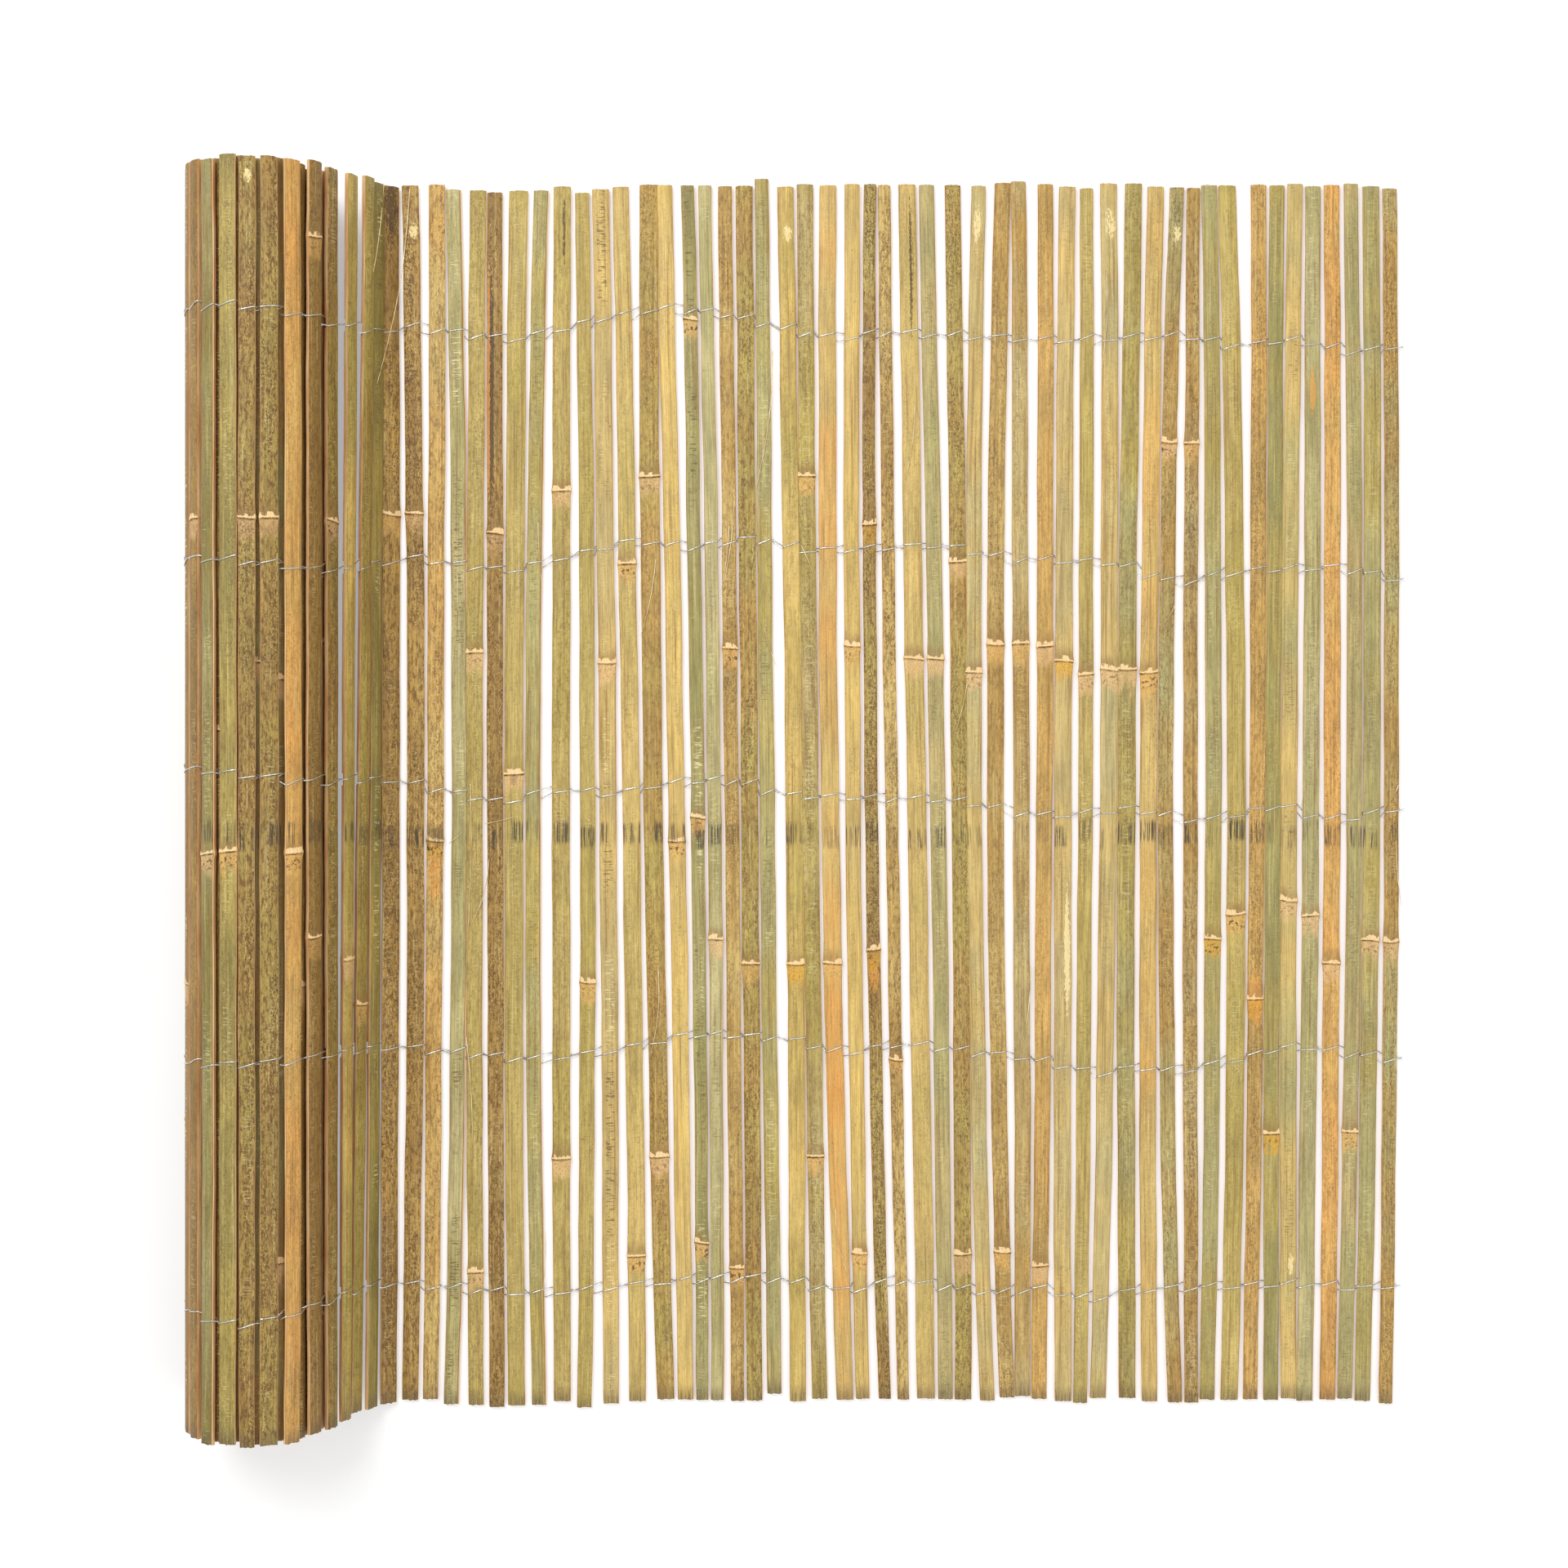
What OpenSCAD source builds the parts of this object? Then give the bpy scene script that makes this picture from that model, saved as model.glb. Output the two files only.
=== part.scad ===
// Split bamboo screening: slats woven on five rows of paired wires.
// Part of the sheet lies flat, the rest climbs into a loose roll, skin side out.
// Millimetres, +Z up. Slats run along Y, the sheet runs along X from the roll at
// -X to its free end at +X. The origin is the centre of the outline, on the floor.

/* [Slats] */
// Length of a slat
slat_l = 1000; // [700:10:1100]
// Mean width of a slat across its skin
slat_w = 12.8; // [11.6:0.1:13]
// Thickness of a slat from its foot to the crown of its skin
slat_t = 4.4; // [4:0.1:4.8]
// Mean distance from one slat to the next along the sheet
slat_pitch = 17.1; // [17:0.1:18.4]
// Outer radius of the culms that the slats were split from
culm_r = 22; // [19:1:30]
// Width of a slat's foot as a share of the width of its skin
foot_share = 0.9; // [0.84:0.01:0.98]

/* [Culm nodes] */
// Height of the ring at a culm's node above the skin
ring_rise = 0.7; // [0.4:0.05:0.8]
// Length of the ring's crest along the slat
ring_crest = 2.4; // [1.5:0.1:4]
// Length of the swelling that the ring stands on
ring_l = 9; // [6:0.5:14]
// Depth of the groove below the ring
ring_groove = 0.3; // [0.2:0.05:0.5]
// How far the swelling stands out at each side of the slat
ring_flare = 0.25; // [0.1:0.05:0.35]

/* [Wires] */
// Diameter of one strand
wire_d = 0.9; // [0.7:0.05:1]
// Rows of paired strands
wire_rows = 5; // [5]
// Distance from the upper slat ends to the first row
first_row = 120; // [80:5:140]
// Distance from the lower slat ends to the last row
last_row = 94; // [70:2:140]
// Gap between the two strands of a row
strand_gap = 0.15; // [0.1:0.05:0.3]
// Depth of a strand behind the foot of a slat on the floor, and its room off one in the roll
wire_inset = 0.1; // [0.08:0.01:0.12]
// Room around a strand in its seat
seat_clear = 0.2; // [0.16:0.01:0.22]
// How far past a slat's side a strand runs before it dives to the next slat
wire_wrap = 0.3; // [0.25:0.05:0.4]
// Length of the strands beyond the last slat at either end
wire_tail = 5; // [3:0.5:8]

/* [Sheet and roll] */
// Slats that lie flat in front of the roll
flat_slats = 48; // [36:1:48]
// Mid-plane radius of the bend where the sheet leaves the floor
bend_r = 26; // [22:1:32]
// Steepest slope of the sheet on its way up to the roll, in degrees
rise_angle = 64; // [58:1:70]
// Mid-plane radius of the roll where the sheet meets it
roll_r = 59; // [57:0.5:65]
// Distance from one turn of the roll to the next
turn_gap = 7.1; // [7:0.1:7.6]
// Mid-plane radius of the innermost slats, around the open core
core_r = 19; // [18:0.5:22]
// Spread of the step, width and slip of the slats hidden in the roll
hidden_spread = 0.08; // [0:0.01:0.1]

/* [Hidden] */
// Slats from the free end to the crown of the roll, one line each:
// step from the slat before and width as shares of their means, lean in degrees,
// slip along the slat in thousandths of its length, and its culm nodes as shares
// of its length from -Y.
seen = [
    [0.00, 0.89, 0.2, -2.2, [0.38]],
    [0.98, 1.05, 0.4, -0.2, [0.38]],
    [0.88, 0.94, 0.3, 1.8, [0.22]],
    [0.96, 1.02, 0.2, 0.8, [0.36]],
    [1.02, 1.02, 0.4, -0.2, [0.40]],
    [0.93, 1.02, 0.3, 1.8, [0.41]],
    [0.82, 0.97, 0.3, 0.5, [0.22]],
    [0.85, 0.97, 0.4, 1.1, [0.33]],
    [1.13, 1.15, -0.1, 0.5, [0.40]],
    [1.03, 1.00, 0.1, 0.8, [0.38]],
    [0.94, 0.89, 0.1, -1.6, [0.79]],
    [1.00, 0.94, 0.1, -1.2, [0.79]],
    [0.97, 1.05, 0.3, -0.5, [0.60]],
    [1.05, 1.10, 0.3, 2.1, [0.60]],
    [1.09, 1.05, 0.5, 2.1, [0.60]],
    [1.04, 0.89, 0.3, -1.9, [0.60]],
    [0.98, 1.07, 0.2, -0.5, [0.61]],
    [1.00, 1.00, 0.3, 1.5, [0.11, 0.62]],
    [1.07, 1.00, -0.2, 3.8, [0.62]],
    [1.01, 1.02, -0.2, 2.5, [0.12, 0.62]],
    [1.04, 0.94, -0.4, 0.1, [0.60]],
    [0.94, 1.05, -0.5, 0.8, [0.12, 0.69]],
    [1.07, 0.97, -0.9, 1.1, [0.61]],
    [0.97, 1.15, -0.9, 1.5, [0.61]],
    [1.15, 0.79, -0.9, 0.8, [0.28]],
    [0.89, 0.81, -0.7, 1.5, [0.37, 0.72]],
    [0.91, 0.94, -0.5, 1.5, [0.12, 0.62]],
    [1.06, 1.10, -0.8, 0.5, [0.36]],
    [1.06, 1.02, -0.7, 1.5, [0.20, 0.76]],
    [0.89, 1.05, -0.6, -0.5, [0.36]],
    [1.21, 0.92, -0.6, 5.8, []],
    [0.88, 1.05, -0.5, 0.1, [0.36]],
    [0.86, 0.89, -0.6, -0.2, [0.11, 0.62]],
    [0.91, 0.84, -0.6, 0.5, [0.38]],
    [0.78, 0.84, -0.7, 0.5, [0.13, 0.48, 0.89]],
    [1.00, 1.00, -1.0, 0.8, [0.46]],
    [0.99, 1.18, -0.8, 1.1, [0.20, 0.76]],
    [1.20, 1.07, -0.8, -0.5, [0.12, 0.69]],
    [1.12, 1.05, -0.5, -2.6, [0.61]],
    [1.03, 0.94, -0.1, -5.6, [0.35]],
    [1.15, 1.10, 0.0, -0.5, [0.20, 0.75]],
    [1.20, 0.94, 0.1, -3.6, []],
    [1.01, 1.15, 0.1, -3.9, [0.52]],
    [0.97, 1.00, -0.1, -5.3, [0.72]],
    [0.95, 1.02, 0.1, -3.6, [0.11, 0.62]],
    [0.95, 0.97, 0.1, -2.9, []],
    [1.03, 1.02, 0.3, 1.1, [0.46]],
    [1.05, 1.07, 0.0, 0.5, [0.73]],
    [1.12, 1.05, 0.1, -1.2, [0.73]],
    [0.93, 1.00, 0.3, -1.8, []],
    [0.98, 0.95, 0.6, -0.7, [0.33]],
    [1.10, 0.92, 0.3, -3.0, [0.37]],
    [1.30, 0.95, 0.0, -3.6, [0.72]],
    [1.26, 1.05, 0.0, -2.6, [0.39, 0.94]],
    [1.18, 1.02, 0.0, -5.7, [0.46]],
    [1.09, 1.03, 0.0, -5.3, [0.72]],
    [0.97, 0.95, 0.0, -6.0, [0.72]],
    [0.89, 1.03, 0.0, -4.1, [0.46]],
    [1.08, 0.93, 0.0, -6.1, [0.46]],
    [0.98, 0.90, 0.0, -4.1, [0.72]],
];

// How each row wanders from its straight line, upper row first, as pairs of a
// share of the overall length from the roll's side and an offset along the slats
// in thousandths of their length.
wander = [
    [[0, 2], [0.13, -7], [0.17, 5], [0.26, -7], [0.33, 10], [0.39, 20], [0.43, 16],
     [0.53, -6], [0.57, 0], [0.71, -7], [0.82, -3], [0.86, -12], [0.91, -6],
     [0.96, -17], [1, -11]],
    [[0, 2], [0.12, -8], [0.16, 12], [0.26, -1], [0.32, 16], [0.37, 26], [0.4, 18],
     [0.47, 28], [0.5, 16], [0.62, 21], [0.67, 10], [0.77, 6], [0.81, -11],
     [0.86, 0], [0.95, 3], [1, -9]],
    [[0, 34], [0.11, 23], [0.15, 26], [0.25, 5], [0.3, 17], [0.34, 12], [0.39, 22],
     [0.44, 25], [0.49, 11], [0.63, 8], [0.7, -6], [0.78, 1], [0.83, -10],
     [0.9, 4], [0.94, -10], [1, 2]],
    [[0, -2], [0.13, 4], [0.28, -10], [0.34, -2], [0.41, 12], [0.49, 8],
     [0.53, -5], [0.58, 4], [0.69, -8], [0.75, -22], [0.78, -14], [0.81, -20],
     [0.91, 2], [1, -10]],
    [[0, 2], [0.06, -6], [0.12, 7], [0.22, -2], [0.28, -6], [0.4, 6], [0.47, 8],
     [0.53, -4], [0.57, 6], [0.67, -6], [0.69, 1], [0.74, -11], [0.78, -2],
     [0.92, 3], [0.97, -2], [1, 3]],
];

// Seeded spreads for the slats inside the roll, from -1 to 1
spread_n = 260;
step_spread = rands(-1, 1, spread_n, 11);
width_spread = rands(-1, 1, spread_n, 23);
slip_spread = rands(-1, 1, spread_n, 37);
node_spread = rands(-1, 1, spread_n, 53);
hidden_slip = 40;
culm_fn = 96;

function step_of(i) = i < len(seen) ? seen[i][0] : 1 + hidden_spread * step_spread[i];
function width_of(i) =
    slat_w * (i < len(seen) ? seen[i][1] : 1 + hidden_spread * width_spread[i]);
function lean_of(i) = i < len(seen) ? seen[i][2] : 0;
function slip_of(i) =
    slat_l / 1000
    * (i < len(seen) ? seen[i][3] : seen[len(seen) - 1][3] + hidden_slip * hidden_spread * slip_spread[i]);
function nodes_of(i) =
    i < len(seen) ? seen[i][4]
    : node_spread[i] > 0.4 ? [0.14 + 0.1 * width_spread[i], 0.66 + 0.08 * step_spread[i]]
    : [0.5 + 0.3 * node_spread[i]];

// Path of the sheet's mid-plane: flat, up a bend, up a slope, then the spiral
spiral_k = turn_gap / (2 * PI);
function turn_angle(s) = (roll_r - sqrt(roll_r * roll_r - 2 * spiral_k * s)) / spiral_k * 180 / PI;
function turn_r(angle) = roll_r - turn_gap * angle / 360;
floor_angle = rise_angle + 180;
left_angle = rise_angle + 90;
skin_drop = culm_r - sqrt(culm_r * culm_r - slat_w * slat_w / 4);
chord_rise = slat_w * slat_w / (32 * culm_r);
wire_lift = wire_d / 2 + seat_clear + chord_rise + 0.05;
skin_reach = slat_t / 2 + wire_lift + wire_d / 2 + 0.05;

flat_n = round(flat_slats);
flat_l = sum_steps(flat_n - 1) + slat_pitch / 4;
bend_l = bend_r * rise_angle * PI / 180;
bend_top = slat_t / 2 + bend_r * (1 - cos(rise_angle));
roll_z = turn_r(floor_angle) + skin_reach;
slope_l = (roll_z + roll_r * cos(rise_angle) - bend_top) / sin(rise_angle);
roll_l = PI * (roll_r * roll_r - core_r * core_r) / turn_gap;
join_s = flat_l + bend_l + slope_l;
roll_back = flat_l + (bend_r + roll_r) * sin(rise_angle) + slope_l * cos(rise_angle);
overall_l = roll_back + turn_r(left_angle) + skin_reach + width_of(0) / 2 + wire_tail;
free_x = overall_l / 2 - wire_tail - width_of(0) / 2;
roll_x = free_x - roll_back;

function sum_steps(n) = slat_pitch * sum([for (i = [1:n]) step_of(i)], n - 1);
function sum(v, i) = i < 0 ? 0 : v[i] + sum(v, i - 1);

// Distance along the path of every slat
marks = [
    for (i = 0, s = 0; s < join_s + roll_l; i = i + 1, s = s + slat_pitch * step_of(i)) s
];
slat_n = len(marks);

// [x, z, tilt] of the sheet at a distance along its path
function place_at(s) =
    s < flat_l ? [free_x - s, slat_t / 2, 0]
    : s < flat_l + bend_l ? bend_place((s - flat_l) * 180 / (PI * bend_r))
    : s < join_s ? slope_place(s - flat_l - bend_l)
    : spiral_place(turn_angle(s - join_s));
function bend_place(a) =
    [free_x - flat_l - bend_r * sin(a), slat_t / 2 + bend_r * (1 - cos(a)), -a];
function slope_place(d) = bend_place(rise_angle) + [-d * cos(rise_angle), d * sin(rise_angle), 0];
function spiral_place(a) =
    let (t = a - rise_angle, r = turn_r(a))
    [roll_x - r * sin(t), roll_z + r * cos(t), t];
places = [for (s = marks) place_at(s)];

// First slat of each group, and the end of the last one
panel_slats = ceil(flat_n / 4);
function first_past(s) = len([for (m = marks) if (m < s) m]);
function turn_start(n) =
    let (r = roll_r - n * turn_gap)
    first_past(join_s + PI * (roll_r * roll_r - r * r) / turn_gap);

row_gap = (slat_l - first_row - last_row) / (wire_rows - 1);
function row_y(row, x) =
    slat_l / 2 - first_row - row * row_gap + slat_l / 1000 * lookup(x / overall_l + 0.5, wander[row]);

// A point (along the sheet, out of the skin) of slat i where a row crosses it
function on_slat(row, i, u, v) =
    let (p = places[i], leant = tan(lean_of(i)) * (row_y(row, p[0]) - slip_of(i)))
    [p[0] + leant + u * cos(p[2]) - v * sin(p[2]), p[1] + u * sin(p[2]) + v * cos(p[2])];

// A strand goes over one slat and under the next
function over_slat(row, i) =
    let (w = width_of(i) / 2 + wire_wrap, v = slat_t / 2 + wire_lift)
    [for (u = [w, 0, -w]) on_slat(row, i, u, u == 0 ? v : v - skin_drop)];
function under_slat(row, i) =
    let (
        w = width_of(i) / 2,
        seated = marks[i] < join_s,
        v = (seated ? 1 : -1) * (wire_inset + wire_d / 2) - slat_t / 2
    )
    [for (u = [w, -w]) on_slat(row, i, u, v)];
function strand_path(row, side, first, last) = [
    if (first == 0) on_slat(row, 0, width_of(0) / 2 + wire_tail, 0),
    for (i = [first:last]) each (i + side) % 2 == 0 ? over_slat(row, i) : under_slat(row, i),
    if (last == slat_n - 1) on_slat(row, last, -width_of(last) / 2 - wire_tail, 0)
];

// Outline of a strip of even width along a path
function unit(v) = v / norm(v);
function side_step(path, j, half) =
    let (
        a = unit(path[max(j, 1)] - path[max(j, 1) - 1]),
        b = unit(path[min(j + 1, len(path) - 1)] - path[min(j + 1, len(path) - 1) - 1]),
        m = unit(a + b)
    )
    [-m[1], m[0]] * half / max(m * a, 0.5);
function strip(path, half) = [
    for (j = [0:len(path) - 1]) path[j] + side_step(path, j, half),
    for (j = [len(path) - 1:-1:0]) path[j] - side_step(path, j, half)
];

// Outline of a strand seen from above, where it follows the row's wander
function band(row, side, half) =
    let (
        marks_x = concat([-0.6], [for (p = wander[row]) (p[0] - 0.5)], [0.6]) * overall_l,
        shift = (side - 0.5) * (wire_d + strand_gap)
    )
    [
        for (x = marks_x) [x, row_y(row, x) + shift + half],
        for (j = [len(marks_x) - 1:-1:0]) [marks_x[j], row_y(row, marks_x[j]) + shift - half]
    ];

// One strand past the slats first to last, grown all round by some room
module strand(row, side, first, last, room = 0) {
    half = wire_d / 2 + room;
    intersection() {
        rotate([90, 0, 0])
            linear_extrude(height = 2 * slat_l, center = true)
                polygon(strip(strand_path(row, side, first, last), half));
        translate([0, 0, -slat_l / 4])
            linear_extrude(height = slat_l)
                polygon(band(row, side, half));
    }
}

// The outer wall of a length of culm along Z, with a ring at each node
module culm(heights) {
    inner_r = culm_r - slat_t - 2;
    rotate_extrude($fn = culm_fn)
        polygon(concat(
            [[inner_r, -slat_l / 2], [culm_r, -slat_l / 2]],
            [for (h = heights) each [
                [culm_r, h - ring_l / 2],
                [culm_r - ring_groove, h - ring_crest],
                [culm_r + ring_rise, h - ring_crest / 2],
                [culm_r + ring_rise, h + ring_crest / 2],
                [culm_r, h + ring_l / 2]
            ]],
            [[culm_r, slat_l / 2], [inner_r, slat_l / 2]]
        ));
}

// What a splitting knife cuts out of the culm: radial sides and a planed foot
module knife_cut(w, l) {
    drop = culm_r - sqrt(culm_r * culm_r - w * w / 4);
    foot = foot_share * w / 2;
    top = w / 2 + (w / 2 - foot) / (slat_t - drop) * (drop + 2);
    linear_extrude(height = l, center = true)
        polygon([
            [-foot, culm_r - slat_t],
            [foot, culm_r - slat_t],
            [top, culm_r + 2],
            [-top, culm_r + 2]
        ]);
}

// Slat i along Y with its mid-plane at the origin and its skin up
module slat(i) {
    heights = [for (share = nodes_of(i)) (share - 0.5) * slat_l];
    w = width_of(i);
    translate([0, 0, slat_t / 2 - culm_r])
        rotate([90, 0, 0])
            mirror([0, 0, 1])
                intersection() {
                    culm(heights);
                    union() {
                        knife_cut(w, slat_l);
                        for (h = heights) translate([0, 0, h]) knife_cut(w + 2 * ring_flare, ring_l / 2);
                    }
                }
}

// The slats from first to last where they lie
module slats(first, last) {
    for (i = [first:last])
        translate([places[i][0], slip_of(i), places[i][1]])
            rotate([0, 0, -lean_of(i)])
                rotate([0, -places[i][2], 0])
                    slat(i);
}

// The same with a seat cut across their feet for each strand that runs under them
module seated_slats(first, last) {
    difference() {
        slats(first, last);
        for (row = [0:wire_rows - 1], side = [0, 1])
            strand(row, side, max(first - 1, 0), last + 1, seat_clear);
    }
}

module wire_row(row) {
    color([0.72, 0.73, 0.72])
        for (side = [0, 1]) strand(row, side, 0, slat_n - 1);
}

tan_skin = [0.74, 0.66, 0.44];
olive_skin = [0.62, 0.58, 0.37];
brown_skin = [0.50, 0.43, 0.27];

module flat_slats_a() {
    color(tan_skin) seated_slats(0, panel_slats - 1);
}

module flat_slats_b() {
    color(tan_skin) seated_slats(panel_slats, 2 * panel_slats - 1);
}

module flat_slats_c() {
    color(olive_skin) seated_slats(2 * panel_slats, 3 * panel_slats - 1);
}

module flat_slats_d() {
    color(olive_skin) seated_slats(3 * panel_slats, flat_n - 1);
}

module rising_slats() {
    color(olive_skin) seated_slats(flat_n, turn_start(0) - 1);
}

module roll_turn_1() {
    color(brown_skin) slats(turn_start(0), turn_start(1) - 1);
}

module roll_turn_2() {
    color(brown_skin) slats(turn_start(1), turn_start(2) - 1);
}

module roll_turn_3() {
    color(brown_skin) slats(turn_start(2), turn_start(3) - 1);
}

module roll_turn_4() {
    color(brown_skin) slats(turn_start(3), turn_start(4) - 1);
}

module roll_core() {
    color(brown_skin) slats(turn_start(4), slat_n - 1);
}

module wire_row_1() {
    wire_row(0);
}

module wire_row_2() {
    wire_row(1);
}

module wire_row_3() {
    wire_row(2);
}

module wire_row_4() {
    wire_row(3);
}

module wire_row_5() {
    wire_row(4);
}

flat_slats_a();
flat_slats_b();
flat_slats_c();
flat_slats_d();
rising_slats();
roll_turn_1();
roll_turn_2();
roll_turn_3();
roll_turn_4();
roll_core();
wire_row_1();
wire_row_2();
wire_row_3();
wire_row_4();
wire_row_5();
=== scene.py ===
import math

import bpy
import numpy as np
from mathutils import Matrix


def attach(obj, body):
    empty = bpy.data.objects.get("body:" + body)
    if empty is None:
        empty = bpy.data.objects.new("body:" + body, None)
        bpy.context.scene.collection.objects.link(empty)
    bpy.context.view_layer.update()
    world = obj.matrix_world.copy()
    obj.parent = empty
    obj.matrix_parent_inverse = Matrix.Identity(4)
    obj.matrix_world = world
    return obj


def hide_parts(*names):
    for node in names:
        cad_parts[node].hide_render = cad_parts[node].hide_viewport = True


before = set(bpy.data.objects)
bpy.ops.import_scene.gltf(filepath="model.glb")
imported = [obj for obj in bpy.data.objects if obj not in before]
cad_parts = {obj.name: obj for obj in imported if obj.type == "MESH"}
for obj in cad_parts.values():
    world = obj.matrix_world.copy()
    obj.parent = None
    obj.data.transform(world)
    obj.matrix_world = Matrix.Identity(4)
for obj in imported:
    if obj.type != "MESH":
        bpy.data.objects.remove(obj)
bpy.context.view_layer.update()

# Lengths below are in millimetres in the row frame: slats along Y, the sheet along X, the roll at -X.
MM = 0.001
rng = np.random.default_rng(7)

FLAT_NODES = ["flat_slats_a", "flat_slats_b", "flat_slats_c", "flat_slats_d", "rising_slats"]
ROLL_NODES = ["roll_turn_1", "roll_turn_2", "roll_turn_3", "roll_turn_4", "roll_core"]
WIRE_NODES = ["wire_row_1", "wire_row_2", "wire_row_3", "wire_row_4", "wire_row_5"]

CULM_R = 22.0
FOOT_SHARE = 0.9
STRAND_R = 0.45
ROW_SLANT = 1.9  # half of a strand's rise across one slat
ROW_SPREAD = 1.7  # distance of either strand's middle from the row's line

# ---------------------------------------------------------------- camera and photograph scale
PX = 0.6735  # millimetres on the floor for one pixel of the 1920 pixel frame
CAM_X, CAM_Y, CAM_H = -15.4, 7.7, 1890.0
SENSOR = 36.0


def photo_y(py):
    """Place along a flat slat of a row of pixels of the photograph."""
    return (971.5 - py) * PX


# ---------------------------------------------------------------- slats as the CAD has them
def solids_of(obj):
    """(points, triangles) of every closed solid in a CAD node, in millimetres."""
    me = obj.data
    me.calc_loop_triangles()
    co = np.empty(len(me.vertices) * 3)
    me.vertices.foreach_get("co", co)
    tri = np.empty(len(me.loop_triangles) * 3, np.int64)
    me.loop_triangles.foreach_get("vertices", tri)
    points, index = np.unique(np.round(co.reshape(-1, 3), 7), axis=0, return_inverse=True)
    tri = index.ravel()[tri].reshape(-1, 3)
    label = np.arange(len(points))
    while True:
        low = label.copy()
        np.minimum.at(low, tri.ravel(), np.repeat(label[tri].min(1), 3))
        low = low[low]
        if (low == label).all():
            break
        label = low
    out = []
    for k in np.unique(label):
        own = np.flatnonzero(label == k)
        faces = tri[label[tri[:, 0]] == k]
        out.append((points[own] * 1000, np.searchsorted(own, faces)))
    return out


def middle(p):
    return (p.min(0) + p.max(0)) / 2


def read_slat(points, tri, group):
    """Place, axes and size of a slat: u across, l along, v out of its skin."""
    a, b, c = points[tri[:, 0]], points[tri[:, 1]], points[tri[:, 2]]
    n = np.cross(b - a, c - a)
    area = np.linalg.norm(n, axis=1)
    keep = area > 1e-6
    n, area = n[keep] / area[keep, None], area[keep]
    kinds, which = np.unique(np.round(n, 2), axis=0, return_inverse=True)
    most = np.argmax(np.bincount(which.ravel(), weights=area))
    foot = (n * area[:, None])[which.ravel() == most].sum(0)
    top = points[points[:, 1] > points[:, 1].max() - 1]
    low = points[points[:, 1] < points[:, 1].min() + 1]
    l = middle(top) - middle(low)
    l /= np.linalg.norm(l)
    v = -foot
    v -= (v @ l) * l
    v /= np.linalg.norm(v)
    u = np.cross(l, v)
    axes = np.array([u, l, v])
    ends = np.vstack([top, low]) @ axes.T
    origin = middle(ends) @ axes
    local = (points - origin) @ axes.T
    size = ends.max(0) - ends.min(0)
    crest = np.sort(local[local[:, 2] > size[2] / 2 + 0.3][:, 1])
    rings = [g.mean() for g in np.split(crest, np.flatnonzero(np.diff(crest) > 6) + 1) if len(g)]
    return {
        "group": group, "o": origin, "u": u, "l": l, "v": v,
        "w": size[0], "l2": size[1] / 2, "t": size[2], "rings": rings,
    }


def read_slats():
    """All slats from the free end to the core of the roll."""
    flat = [read_slat(p, t, n) for n in FLAT_NODES for p, t in solids_of(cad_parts[n])]
    flat.sort(key=lambda s: -s["o"][0])
    roll = [read_slat(p, t, n) for n in ROLL_NODES for p, t in solids_of(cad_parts[n])]
    across = np.array([(s["v"][2], -s["v"][0]) for s in roll])
    reach = (across * np.array([(s["o"][0], s["o"][2]) for s in roll])).sum(1)
    axis = np.linalg.lstsq(across, reach, rcond=None)[0]
    for s in roll:
        s["r"] = (s["o"][0] - axis[0]) * s["v"][0] + (s["o"][2] - axis[1]) * s["v"][2]
    roll.sort(key=lambda s: -s["r"])
    return flat + roll


# ---------------------------------------------------------------- what the photograph shows on each slat
def linear(rgb):
    c = np.array(rgb, float) / 255
    return np.where(c <= 0.04045, c / 12.92, ((c + 0.055) / 1.055) ** 2.4)


TINTS = {
    "tan": (197, 167, 100),
    "olive": (165, 147, 74),
    "tan olive": (180, 158, 90),
    "grey green": (157, 152, 101),
    "pale green": (180, 171, 124),
    "deep green": (136, 134, 80),
    "brown": (170, 132, 66),
    "dark brown": (140, 104, 48),
    "gold": (203, 157, 84),
    "yellow": (209, 176, 98),
    "orange": (212, 152, 78),
    "grey tan": (176, 156, 106),
    "roll brown": (136, 102, 46),
    "roll olive": (142, 120, 54),
    "roll green": (128, 119, 62),
}

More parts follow.
